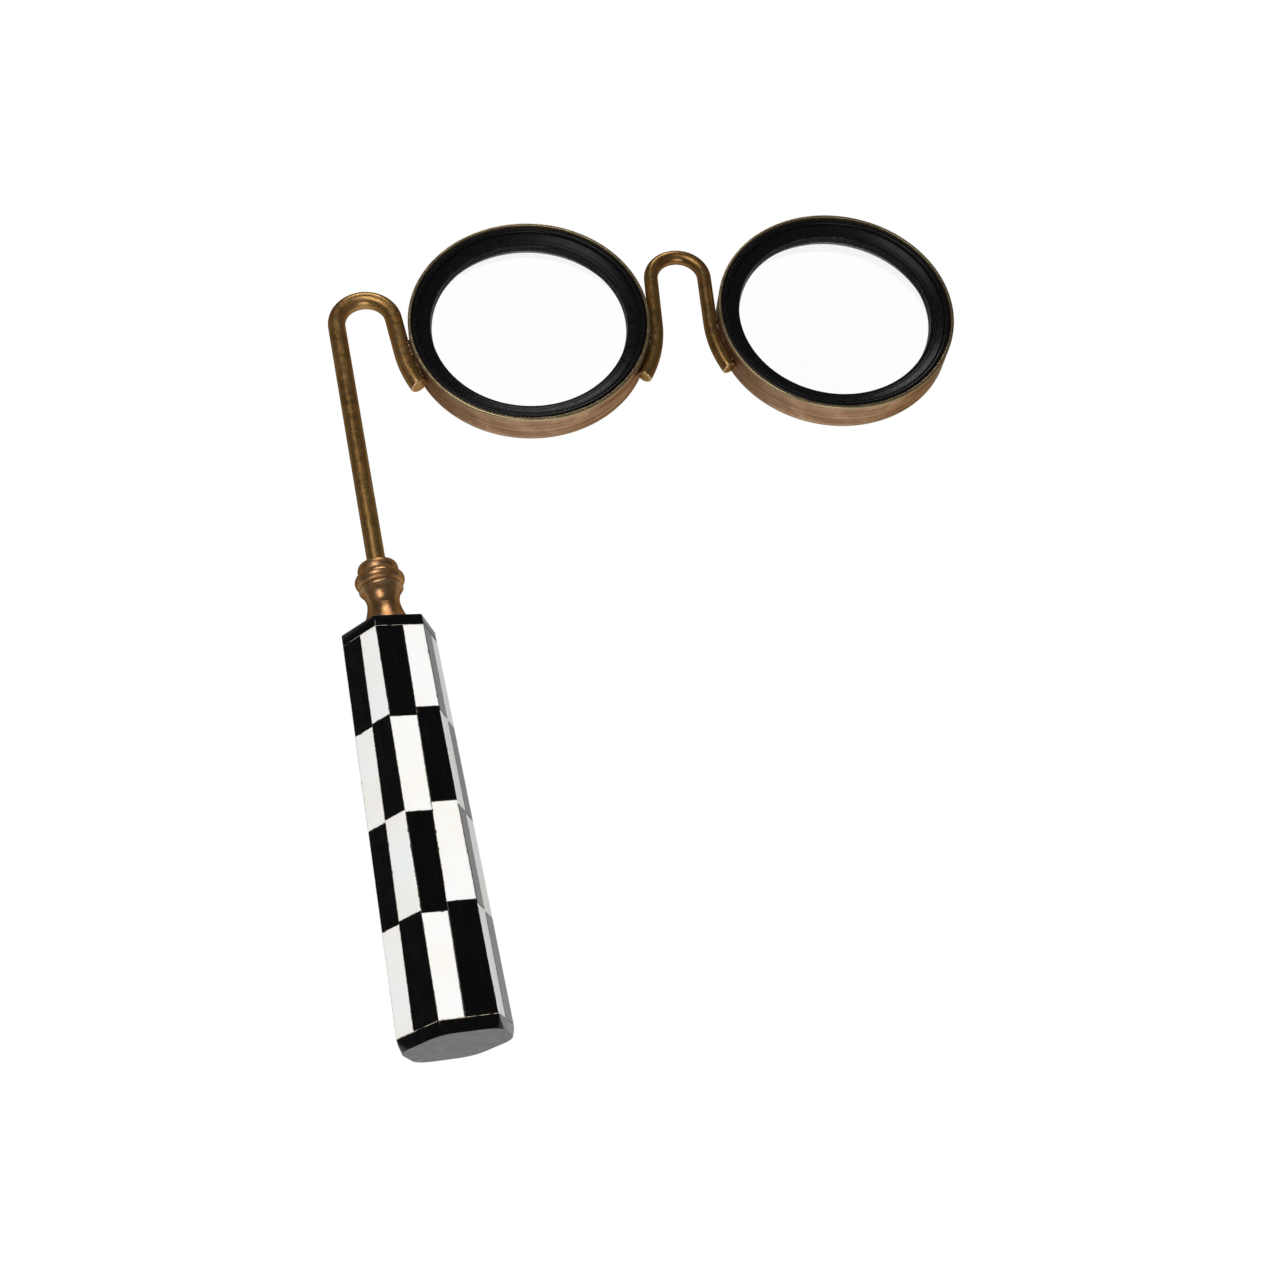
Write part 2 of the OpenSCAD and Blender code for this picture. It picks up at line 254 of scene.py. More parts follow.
# The rim band's bands along the cut are set strong and its light colour is bright: painted soft highlights
# and painted shade round the band, on top of its tone.
BRONZE = aged_brass("brushed_bronze", rim_lines, (0.20, 0.12, 0.074), (0.34, 0.212, 0.134),
                    (0.55, 0.355, 0.23), (0.42, 0.33, 0.19), 0.30, metal=0.88, relief=0.03,
                    tone_and_sheen_bands=1.0)
ROD_BRASS = aged_brass("patinated_rod", rod_lines, (0.19, 0.108, 0.038), (0.30, 0.18, 0.064),
                       (0.40, 0.255, 0.098), (0.60, 0.42, 0.20), 0.22, edge=(0.25, 0.18, 0.11), metal=0.86,
                       relief=0.02, seed=7.0)
ARM_BRASS = aged_brass("patinated_arm", rod_lines, (0.27, 0.157, 0.054), (0.38, 0.228, 0.083),
                       (0.46, 0.285, 0.12), (0.62, 0.40, 0.24), 0.25, edge=(0.25, 0.18, 0.11), metal=0.86,
                       relief=0.02, seed=9.0)
TURNED_BRASS = aged_brass("turned_brass", turned_lines, (0.35, 0.185, 0.08), (0.52, 0.295, 0.13),
                          (0.62, 0.38, 0.20), (0.80, 0.56, 0.32), 0.25,
                          edge=(0.2, 0.15, 0.1), metal=0.90, relief=0.2, seed=3.0)
# On the solder the worn colour marks painted glints as well as rubbed metal, and its darkening is painted
# shade in the joint.
SOLDER = aged_brass("solder_brass", plain_lines, (0.07, 0.035, 0.014), (0.14, 0.08, 0.033),
                    (0.27, 0.18, 0.09), (0.55, 0.44, 0.30), 0.32, seed=11.0)


def black_lacquer():
    """Satin black paint over turned brass, thin on the sharp edges."""
    s = Shader("black_lacquer")
    cut = s.noise(s.round_lines(11.0, 0.03), 1.0, 2.0, 0.7)
    cloud = s.noise(s.mm, 0.8, 3.0, 0.6)
    dust = s.noise(s.mm, 9.0, 2.0, 0.5)
    colour = s.mix(cloud, (0.0022, 0.0022, 0.0026), (0.0055, 0.0052, 0.006))
    colour = s.mix(s.span(dust, 0.66, 0.78, 0.0, 0.25), colour, (0.025, 0.022, 0.025))
    worn = s.math("MULTIPLY", s.attribute("wear_and_solder_glint"), s.span(cloud, 0.5, 0.7, 0.0, 0.35))
    colour = s.mix(worn, colour, (0.09, 0.07, 0.06))
    s.set(Base_Color=colour, Roughness=s.span(cloud, 0.3, 0.7, 0.24, 0.34),
          Normal=s.bump(dust, 0.003, s.bump(cut, 0.008)), Specular_IOR_Level=0.13)
    return s.material


def lens_glass():
    """Clear glass with the faintest smears."""
    s = Shader("lens_glass")
    smear = s.noise(s.mm, 0.12, 3.0, 0.5, 1.0)
    s.set(Base_Color=(1.0, 1.0, 1.0, 1.0), Transmission_Weight=1.0, IOR=1.5, Alpha=0.12,
          Roughness=s.span(smear, 0.45, 0.8, 0.0, 0.02))
    return s.material


def along_handle(s, fine, coarse):
    """Noise coordinates that change fast across the handle and slowly along it."""
    x, y, z = s.split(s.mm)
    return s.join(s.math("MULTIPLY", x, fine), s.math("MULTIPLY", y, fine),
                  s.math("MULTIPLY", z, coarse))


def bone():
    """Polished bone: warm and cool clouds, faint growth lines along it, a few pores, stained edges."""
    s = Shader("bone")
    tile = s.attribute("tile")
    at = s.vector("ADD", s.mm, s.join(s.math("MULTIPLY", tile, 37.0), tile, 0.0))
    cloud = s.noise(at, 0.10, 2.0, 0.5)
    streak = s.noise(along_handle(s, 2.6, 0.09), 1.0, 3.0, 0.6, 0.2)
    patch = s.noise(at, 0.6, 3.0, 0.6)
    colour = s.ramp(cloud, (0.34, (0.915, 0.90, 0.855)), (0.5, (0.925, 0.92, 0.90)),
                    (0.66, (0.905, 0.925, 0.94)))
    colour = s.mix(s.span(streak, 0.58, 0.78, 0.0, 0.10), colour, (0.84, 0.80, 0.71))
    colour = s.mix(s.span(patch, 0.45, 0.8, 0.0, 0.08), colour, (0.95, 0.95, 0.945))
    hole = s.cells(s.vector("MULTIPLY", at, (1.0, 1.0, 0.55)), 1.0)
    sparse = s.noise(at, 0.35, 1.0)
    pore = s.math("MULTIPLY", s.span(hole, 0.11, 0.05), s.span(sparse, 0.60, 0.66))
    colour = s.mix(s.math("MULTIPLY", pore, 0.55), colour, (0.52, 0.43, 0.3))
    near = s.attribute("edge")
    wander = s.noise(at, 2.4, 3.0, 0.65)
    tan = s.math("MULTIPLY", s.span(near, 0.34, 0.0), s.span(wander, 0.42, 0.68, 0.0, 0.6))
    colour = s.mix(tan, colour, (0.74, 0.61, 0.42))
    dark = s.math("MULTIPLY", s.span(near, 0.08, 0.0), s.span(wander, 0.48, 0.62, 0.0, 0.9))
    colour = s.mix(dark, colour, (0.11, 0.06, 0.03))
    s.set(Base_Color=colour, Roughness=s.span(patch, 0.3, 0.7, 0.28, 0.34),
          Normal=s.bump(pore, 0.05, s.bump(streak, 0.004, s.bump(patch, 0.003)), strength=-1.0))
    s.set(IOR=1.54, Subsurface_Weight=0.1, Subsurface_Scale=0.001)
    s.bsdf.inputs["Subsurface Radius"].default_value = (1.0, 0.8, 0.6)
    return s.material


def horn(name, satin_face=False):
    """Polished black horn with faint brown streaks and hairline scratches."""
    s = Shader(name)
    tile = s.attribute("tile")
    at = s.vector("ADD", s.mm, s.join(s.math("MULTIPLY", tile, 53.0), tile, 0.0))
    streak = s.noise(along_handle(s, 1.8, 0.06), 1.0, 4.0, 0.6, 0.3)
    cloud = s.noise(at, 0.5, 3.0, 0.6)
    fine = s.noise(along_handle(s, 9.0, 0.35), 1.0, 2.0, 0.6)
    colour = s.mix(s.span(streak, 0.5, 0.75, 0.0, 0.7), (0.0026, 0.0023, 0.0025),
                   (0.006, 0.0048, 0.0045))
    wander = s.noise(at, 2.4, 3.0, 0.65)
    near = s.attribute("edge")
    tan = s.math("MULTIPLY", s.span(near, 0.16, 0.0), s.span(wander, 0.52, 0.66, 0.0, 0.6))
    colour = s.mix(tan, colour, (0.10, 0.06, 0.035))
    rough = s.math("ADD", s.span(cloud, 0.3, 0.7, 0.12, 0.2), s.span(fine, 0.5, 0.8, 0.0, 0.10))
    height = s.bump(fine, 0.003, s.bump(cloud, 0.012))
    if satin_face:
        face = s.attribute("face")
        grain = s.noise(s.mm, 6.0, 4.0, 0.7)
        sanded = s.mix(grain, (0.028, 0.026, 0.027), (0.042, 0.040, 0.042))
        colour = s.mix(face, colour, sanded)
        rough = s.math("ADD", rough, s.math("MULTIPLY", face, 0.22))
    s.set(Base_Color=colour, Roughness=rough, Normal=height, IOR=1.54)
    return s.material


def resin():
    """Brown glue that fills the joints, darker and lighter by turns."""
    s = Shader("joint_resin")
    a = s.noise(s.mm, 1.3, 3.0, 0.7)
    b = s.noise(s.mm, 0.16, 2.0, 0.5)
    colour = s.ramp(a, (0.38, (0.016, 0.009, 0.005)), (0.56, (0.075, 0.042, 0.02)),
                    (0.72, (0.40, 0.29, 0.17)))
    colour = s.mix(s.span(b, 0.4, 0.65, 0.8, 0.2), colour, (0.014, 0.008, 0.005))
    x, y, z = s.split(s.mm)
    by_cap = s.math("MAXIMUM", s.span(z, TOP_CAP + 0.5, TOP_CAP + 0.2),
                    s.span(z, LENGTH - END_CAP - 0.5, LENGTH - END_CAP - 0.2))
    pale = s.math("MULTIPLY", by_cap, s.span(s.noise(s.mm, 0.9, 3.0, 0.7), 0.42, 0.56))
    colour = s.mix(pale, colour, (0.56, 0.50, 0.41))
    s.set(Base_Color=colour, Roughness=0.55, Normal=s.bump(a, 0.02), IOR=1.5)
    return s.material


def core_wood():
    s = Shader("core_wood")
    grain = s.noise(along_handle(s, 1.2, 0.05), 1.0, 5.0, 0.6, 0.6)
    s.set(Base_Color=s.ramp(grain, (0.3, (0.10, 0.05, 0.022)), (0.6, (0.27, 0.15, 0.07))),
          Roughness=0.6, Normal=s.bump(grain, 0.03))
    return s.material


def steel():
    s = Shader("stud_steel")
    line = s.noise(s.vector("MULTIPLY", s.mm, (0.3, 9.0, 0.3)), 1.0, 2.0, 0.6)
    s.set(Base_Color=s.mix(line, (0.34, 0.34, 0.35), (0.5, 0.5, 0.51)), Metallic=1.0,
          Roughness=0.35, Normal=s.bump(line, 0.01))
    return s.material


BLACK, GLASS, BONE, HORN, RESIN = black_lacquer(), lens_glass(), bone(), horn("horn"), resin()
CAP_HORN = horn("cap_horn", satin_face=True)

for node, made in (("handle_core", core_wood()), ("handle_stud", steel()), ("handle_bush", TURNED_BRASS)):
    data = frame["nodes"][node].data
    data.materials.clear()
    data.materials.append(made)


# ---------------------------------------------------------------- mesh helpers

def build(name, body, material, place, verts, faces, facts=(), vectors=(), sharp=40, node=None):
    """One closed piece in mm, in the frame of place; it stands for the CAD node, or the one of its name."""
    data = bpy.data.meshes.new(name)
    data.from_pydata([[c * MM for c in v] for v in verts], [], faces)
    data.update()
    for key, values in dict(facts).items():
        data.attributes.new(key, "FLOAT", "POINT").data.foreach_set("value", values)
    for key, values in dict(vectors).items():
        flat = [c for v in values for c in v]
        data.attributes.new(key, "FLOAT_VECTOR", "POINT").data.foreach_set("vector", flat)
    bm = bmesh.new()
    bm.from_mesh(data)
    bmesh.ops.recalc_face_normals(bm, faces=bm.faces)
    bm.to_mesh(data)
    bm.free()
    data.shade_smooth()
    data.set_sharp_from_angle(angle=math.radians(sharp))
    data.materials.append(material)
    piece = bpy.data.objects.new(name, data)
    bpy.context.scene.collection.objects.link(piece)
    piece.matrix_world = place
    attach(piece, body)
    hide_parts(node or name)


def fillet(outline, steps=6):
    """Rounds the corners of [(x, y, radius)]; returns [(x, y, 1 on a rounded corner)]."""
    out = []
    for i, (x, y, radius) in enumerate(outline):
        if radius <= 0:
            out.append((x, y, 0.0))
            continue
        p = Vector((x, y))
        a = (Vector(outline[i - 1][:2]) - p).normalized()
        b = (Vector(outline[(i + 1) % len(outline)][:2]) - p).normalized()
        half = a.angle(b) / 2
        centre = p + (a + b).normalized() * (radius / math.sin(half))
        v0 = p + a * (radius / math.tan(half)) - centre
        v1 = p + b * (radius / math.tan(half)) - centre
        whole = v0.angle(v1)
        for k in range(steps + 1):
            t = k / steps
            v = (v0 * math.sin((1 - t) * whole) + v1 * math.sin(t * whole)) / math.sin(whole)
            out.append((centre.x + v.x, centre.y + v.y, 1.0))
    return out


def lathe(outline, count, wobble=0.0, seed=0):
    """Spins [(r, z, wear)] about Z: a closed outline makes a ring, one that meets the axis ends there."""
    verts, faces, wear_and_solder_glint, rings = [], [], [], []
    for r, z, w in outline:
        if r < 1e-6:
            rings.append([len(verts)])
            verts.append((0, 0, z))
            wear_and_solder_glint.append(w)
            continue
        rings.append(list(range(len(verts), len(verts) + count)))
        for k in range(count):
            a = 2 * math.pi * k / count
            c, s = math.cos(a), math.sin(a)
            shrink = wobble * (0.5 + 0.5 * noise.noise(Vector((3 * c, 3 * s, seed))))
            verts.append(((r - shrink) * c, (r - shrink) * s, z))
            wear_and_solder_glint.append(w)
    touches = any(len(ring) == 1 for ring in rings)
    for low, high in zip(rings, rings[1:] + ([] if touches else rings[:1])):
        for k in range(count):
            n = (k + 1) % count
            if len(low) == 1 and len(high) == 1:
                break
            if len(low) == 1:
                faces.append((low[0], high[k], high[n]))
            elif len(high) == 1:
                faces.append((low[k], high[0], low[n]))
            else:
                faces.append((low[k], high[k], high[n], low[n]))
    return verts, faces, wear_and_solder_glint


def smooth_line(points, steps=5):
    """A curve through the points (Catmull-Rom)."""
    out = []
    p = [points[0]] + list(points) + [points[-1]]
    for i in range(1, len(p) - 2):
        for k in range(steps):
            t = k / steps
            out.append(tuple(0.5 * (2 * b + (c - a) * t + (2 * a - 5 * b + 4 * c - d) * t * t
                                    + (3 * b - a - 3 * c + d) * t ** 3)
                             for a, b, c, d in zip(p[i - 1], p[i], p[i + 1], p[i + 2])))
    out.append(tuple(points[-1]))
    return out


# ---------------------------------------------------------------- rims, rings, lenses

ROUND = 256


def rim(side, name):
    """A thin band with softened edges; its outside is divided so that wear and colour can vary."""
    outline = fillet([(BORE_R, -HALF_RIM_H, 0.12), (RIM_R, -HALF_RIM_H, 0.2), (RIM_R, HALF_RIM_H, 0.3),
                      (BORE_R, HALF_RIM_H, 0.12)])
    band = [(RIM_R, -HALF_RIM_H + 0.25 + (2 * HALF_RIM_H - 0.6) * k / 12, 0.0) for k in range(1, 12)]
    lower_half = len(outline) // 2
    outline = outline[:lower_half] + band + outline[lower_half:]
    verts, faces, wear_and_solder_glint = lathe(outline, ROUND, 0.03, side)
    build(name, "glasses", BRONZE, GLASSES[side], verts, faces,
          {"wear_and_solder_glint": wear_and_solder_glint, "patina_and_solder_shade": [0.0] * len(verts)})


def front_ring(side, name):
    """From outside in: a bead, a groove, a dished funnel with a faint ridge, and a lip down to the glass."""
    bead = [(BORE_R - 0.75 + 0.75 * math.cos(a), 2.8 + 0.75 * math.sin(a), 0.0)
            for a in (math.pi * k / 20 for k in range(21))]
    groove = [(26.3, 2.62, 0.0), (26.24, 2.6, 0.0), (26.14, 2.6, 0.0), (26.1, 2.66, 0.0)]
    funnel = [(26.1 - 2.73 * t, 2.0 + 0.95 * (1 - t) ** 1.5
               + 0.05 * math.exp(-((t - 0.62) / 0.035) ** 2), 0.0)
              for t in (k / 60 for k in range(61))]
    funnel[0] = (26.1, 2.9, 0.0)
    funnel.insert(1, (26.03, 2.93, 0.6))
    lip = [(23.32, 1.995, 1.0), (23.27, 1.95, 1.0), (23.25, 1.88, 0.8), (23.19, 1.45, 0.2),
           (23.13, 1.08, 0.1), (23.17, 1.02, 0.0), (23.15, 0.94, 0.0), (23.09, 0.90, 0.7),
           (23.04, 0.5, 0.1), (23.01, 0.16, 0.0), (23.03, 0.10, 0.0)]
    seat = [(SEAT_R, 0.10, 0.0), (SEAT_R, LENS_MID, 0.0)]
    outline = [(BORE_R, LENS_MID, 0.0)] + bead + groove + funnel + lip + seat
    verts, faces, wear_and_solder_glint = lathe(outline, ROUND)
    build(name, "glasses", BLACK, GLASSES[side], verts, faces, {"wear_and_solder_glint": wear_and_solder_glint})


def rear_ring(side, name):
    """The plain back half of the mount."""
    outline = fillet([(BORE_R, LENS_MID, 0.0), (SEAT_R, LENS_MID, 0.0), (SEAT_R, -1.66, 0.0),
                      (24.3, -1.66, 0.05), (24.3, -2.16, 0.12), (26.0, -3.55, 0.3),
                      (BORE_R, -3.55, 0.12)])
    verts, faces, wear_and_solder_glint = lathe(outline, ROUND)
    build(name, "glasses", BLACK, GLASSES[side], verts, faces, {"wear_and_solder_glint": wear_and_solder_glint})


def lens(side, name):
    """Both faces curve out a little; the edge has a tiny bevel."""
    curve, half_edge = 400.0, 0.75
    rise = curve - math.sqrt(curve ** 2 - LENS_R ** 2)

    def top(r):
        return half_edge + rise - (curve - math.sqrt(curve ** 2 - r * r))

    radii = [LENS_R * k / 24 for k in range(24)] + [LENS_R - 0.1]
    outline = [(r, LENS_MID + top(r), 0.0) for r in radii]
    outline += [(LENS_R, LENS_MID + half_edge - 0.1, 0.0), (LENS_R, LENS_MID - half_edge + 0.1, 0.0)]
    outline += [(r, LENS_MID - top(r), 0.0) for r in reversed(radii)]
    verts, faces, _ = lathe(outline, 128)
    build(name, "glasses", GLASS, GLASSES[side], verts, faces)


for side, word in enumerate(("left", "right")):
    rim(side, f"{word}_rim")
    front_ring(side, f"{word}_front_ring")
    rear_ring(side, f"{word}_rear_ring")
    lens(side, f"{word}_lens")


# ---------------------------------------------------------------- rods

def arc(cx, cy, r, start, end, step=2.5):
    """Points on a circle with the way they head, in degrees."""
    n = math.ceil(abs(end - start) / step)
    way = math.copysign(90, end - start)
    return [(cx + r * math.cos(math.radians(a)), cy + r * math.sin(math.radians(a)), a + way)
            for a in (start + (end - start) * k / n for k in range(n + 1))]


def rod(name, brass, path, radius, free_ends, sides=48, seed=0.0):
    """Sweeps a round rod along [(x, y, heading)] in the lens plane; a free end is filed with a bevel."""
    bevel, dome = 0.34, 0.09
    tip = [(bevel * math.sin(t), radius - bevel * (1 - math.cos(t)))
           for t in (math.pi / 2 * k / 6 for k in range(1, 7))]
    tip += [(bevel + dome * (1 - q * q), (radius - bevel) * q) for q in (0.85, 0.6, 0.35, 0.12)]
    flat = [(0.0, radius * q) for q in (0.97, 0.7, 0.4, 0.1)]
    polish = [0.9] * 6 + [0.0] * 4

    def ended(place, way, free):
        x, y, h = place
        c, s = math.cos(math.radians(h)), math.sin(math.radians(h))
        return [(x + way * d * c, y + way * d * s, h, r, w if free else 0.0)
                for (d, r), w in zip(tip if free else flat, polish)]

    stations = [(*p, radius, 0.0) for p in path]
    stations = list(reversed(ended(path[0], -1, free_ends[0]))) + stations \
        + ended(path[-1], 1, free_ends[1])
    verts, wear_and_solder_glint, straight, faces = [], [], [], []
    along, before = 0.0, None
    for x, y, h, r, w in stations:
        along += math.dist(before, (x, y)) if before else 0.0
        before = (x, y)
        c, s = math.cos(math.radians(h)), math.sin(math.radians(h))
        for k in range(sides):
            a = 2 * math.pi * k / sides
            dent = noise.noise(Vector((x * 0.25, y * 0.25, seed + math.cos(a))))
            uneven = 1 - 0.012 * (0.5 + 0.5 * dent)
            out, up = r * uneven * math.cos(a), r * uneven * math.sin(a)
            verts.append((x - out * s, y + out * c, up))
            straight.append((radius * math.cos(a), radius * math.sin(a), along + seed))
            wear_and_solder_glint.append(w)
    for i in range(len(stations) - 1):
        for k in range(sides):
            n = (k + 1) % sides
            faces.append((i * sides + k, i * sides + n, (i + 1) * sides + n, (i + 1) * sides + k))
    last = (len(stations) - 1) * sides
    faces.append(tuple(range(sides - 1, -1, -1)))
    faces.append(tuple(range(last, last + sides)))
    build(name, "glasses", brass, GLASSES[0], verts, faces,
          {"wear_and_solder_glint": wear_and_solder_glint, "patina_and_solder_shade": [0.0] * len(verts)}, {"straight": straight}, sharp=50)


LEAN = 7.0
HOOK_X, HOOK_Y, HOOK_R, ARCH_Y, ARCH_R, HALF_EYES = -38.5, 3.0, 6.7, 13.2, 6.5, 36.8
ARM_DROP, FERRULE_H, SOCKET_H = 81.9, 17.1, 8.0
ARM_TIP, BRIDGE_TIP_LEFT, BRIDGE_TIP_RIGHT = 29.5, 29.5, 26.0
hook_end = (HOOK_X - HOOK_R * math.cos(math.radians(LEAN)),
            HOOK_Y - HOOK_R * math.sin(math.radians(LEAN)))
down = ARM_DROP - FERRULE_H + SOCKET_H
straight_arm = [(hook_end[0] + d * math.sin(math.radians(LEAN)),
                 hook_end[1] - d * math.cos(math.radians(LEAN)), 90 + LEAN)
                for d in (down * (1 - k / 30) for k in range(30))]
arm_foot = RIM_R + SLIP + ARM_R
arm_touch = 180 - math.degrees(math.atan(-HOOK_Y / HOOK_X)) + math.degrees(
    math.acos((HOOK_R + arm_foot) / math.hypot(HOOK_X, HOOK_Y)))
rod("arm_rod", ARM_BRASS,
    straight_arm + arc(HOOK_X, HOOK_Y, HOOK_R, 180 + LEAN, arm_touch - 180)
    + arc(0, 0, arm_foot, arm_touch, 180 + ARM_TIP), ARM_R, (False, True), seed=1.0)

bridge_foot = RIM_R + SLIP + BRIDGE_R
bridge_touch = math.degrees(math.atan(ARCH_Y / HALF_EYES)) - math.degrees(
    math.acos((ARCH_R + bridge_foot) / math.hypot(HALF_EYES, ARCH_Y)))
rod("bridge_rod", ROD_BRASS,
    arc(0, 0, bridge_foot, -BRIDGE_TIP_LEFT, bridge_touch)
    + arc(HALF_EYES, ARCH_Y, ARCH_R, 180 + bridge_touch, -bridge_touch)
    + arc(2 * HALF_EYES, 0, bridge_foot, 180 - bridge_touch, 180 + BRIDGE_TIP_RIGHT),
    BRIDGE_R, (True, True), seed=60.0)


# ---------------------------------------------------------------- solder

def solder(name, side, mirrored, rod_r, start, end, blobs, seed):
    """A lumpy fillet above and below the line where a rod lies against a rim, melted into one skin.

    start and end are angles round the rim; a blob is (angle, distance from the axis, height, size).
    """
    rnd = random.Random(seed)
    bm = bmesh.new()
    foot, bite = RIM_R + SLIP + rod_r, 0.06
    count = int(abs(end - start) / 0.6)
    for s in (1, -1):
        rows = []
        for i in range(count + 1):
            a = math.radians(start + (end - start) * i / count)
            fade = min(1.0, 6.0 * i / count + 0.25, 6.0 * (1 - i / count) + 0.25)
            lump = noise.noise(Vector((i * 0.35, seed, s)))
            lump += 0.6 * noise.noise(Vector((i * 0.9, seed, 5 * s)))
            high = (0.62 + 0.17 * lump) * rod_r * fade
            phi = math.radians((46 + 10 * lump) * (0.6 + 0.4 * fade))
            rim_at = (RIM_R - bite, high)
            rod_at = (foot - (rod_r - bite) * math.cos(phi), (rod_r - bite) * math.sin(phi))
            middle = ((rim_at[0] + rod_at[0]) / 2 + 0.02, (rim_at[1] + rod_at[1]) / 2 - 0.14 * fade)
            section = [(RIM_R - bite, 0.0), rim_at, middle, rod_at, (foot - rod_r + 0.25, 0.0)]
            rows.append([bm.verts.new((r * math.cos(a), r * math.sin(a), s * z)) for r, z in section])
        for here, after in zip(rows, rows[1:]):
            for k in range(len(here)):
                n = (k + 1) % len(here)
                bm.faces.new((here[k], here[n], after[n], after[k]))
        bm.faces.new(rows[0][::-1])
        bm.faces.new(rows[-1])
    for angle, r, z, size in blobs:
        a = math.radians(angle)
        turned = Matrix.Translation((r * math.cos(a), r * math.sin(a), z)) @ Matrix.Rotation(a, 4, "Z") \
            @ Matrix.Diagonal((size, size * rnd.uniform(1.0, 1.5), size * rnd.uniform(0.7, 1.0), 1))
        bmesh.ops.create_icosphere(bm, subdivisions=2, radius=1.0, matrix=turned)
    bmesh.ops.recalc_face_normals(bm, faces=bm.faces)
    if mirrored:
        bmesh.ops.transform(bm, matrix=Matrix.Diagonal((-1, 1, 1, 1)), verts=bm.verts)
        bmesh.ops.reverse_faces(bm, faces=bm.faces)
    raw = bpy.data.meshes.new(name + "_raw")
    bm.to_mesh(raw)
    bm.free()
    lump_object = bpy.data.objects.new(name + "_raw", raw)
    bpy.context.scene.collection.objects.link(lump_object)
    skin = lump_object.modifiers.new("skin", "REMESH")
    skin.mode, skin.voxel_size, skin.use_smooth_shade = "VOXEL", 0.11, True
    calm = lump_object.modifiers.new("calm", "SMOOTH")
    calm.factor, calm.iterations = 0.5, 2
    done = bpy.data.meshes.new_from_object(
        lump_object.evaluated_get(bpy.context.evaluated_depsgraph_get()))
    verts = [tuple(v.co) for v in done.vertices]
    faces = [tuple(p.vertices) for p in done.polygons]
    bpy.data.objects.remove(lump_object)
    # The tops of the upper lumps, on the lit side only, take the worn colour: rubbed solder and painted
    # glints.
    worn_and_glint_tops = []
    for x, y, z in verts:
        a = math.degrees(math.atan2(y, -x if mirrored else x)) % 360
        near = max([0.0] + [1 - abs((a - angle + 180) % 360 - 180) / (2.6 * size)
                            for angle, _, height, size in blobs if height > 0])
        worn_and_glint_tops.append(min(1.0, near) if z > 0.5 else 0.0)
    # Everywhere else the solder is darkened: painted shade in the joint between rod and rim.
    painted_joint_shade = [0.35 * (1 - w) for w in worn_and_glint_tops]
    build(name, "glasses", SOLDER, GLASSES[side], verts, faces,
          {"wear_and_solder_glint": worn_and_glint_tops, "patina_and_solder_shade": painted_joint_shade}, sharp=80)


solder("left_bridge_solder", 0, False, BRIDGE_R, -27.5, 1.5,
       [(-11.5, 28.85, 1.15, 0.42), (-13.4, 28.8, 1.0, 0.33), (-8.4, 28.8, 0.95, 0.3),
        (-4.6, 28.75, 0.95, 0.28), (-1.0, 28.75, 0.9, 0.28), (-6.4, 28.8, 0.95, 0.26),
        (-16.0, 28.75, 0.85, 0.26), (-21.0, 28.75, 0.8, 0.24), (-9.0, 28.8, -0.9, 0.3)], 3)
solder("right_bridge_solder", 1, True, BRIDGE_R, -24.0, 1.5,
       [(-3.8, 28.85, 1.1, 0.38), (-4.9, 28.8, 0.95, 0.24), (0.6, 28.75, 0.9, 0.26),
        (-12.0, 28.75, 0.8, 0.22), (-23.5, 28.75, 0.85, 0.26), (-14.0, 28.8, -0.9, 0.3)], 5)
solder("arm_solder", 0, False, ARM_R, 185.0, 207.5,
       [(187.2, 28.8, 1.05, 0.24), (189.1, 28.75, 1.15, 0.30), (192.4, 28.75, 1.1, 0.22),
        (194.3, 28.75, 1.1, 0.26), (199.0, 28.75, 1.1, 0.22), (201.0, 28.75, 1.05, 0.2),
        (205.3, 28.8, 1.15, 0.32), (207.2, 28.85, 1.0, 0.36), (195.0, 28.8, -1.0, 0.3)], 8)


# ---------------------------------------------------------------- ferrule

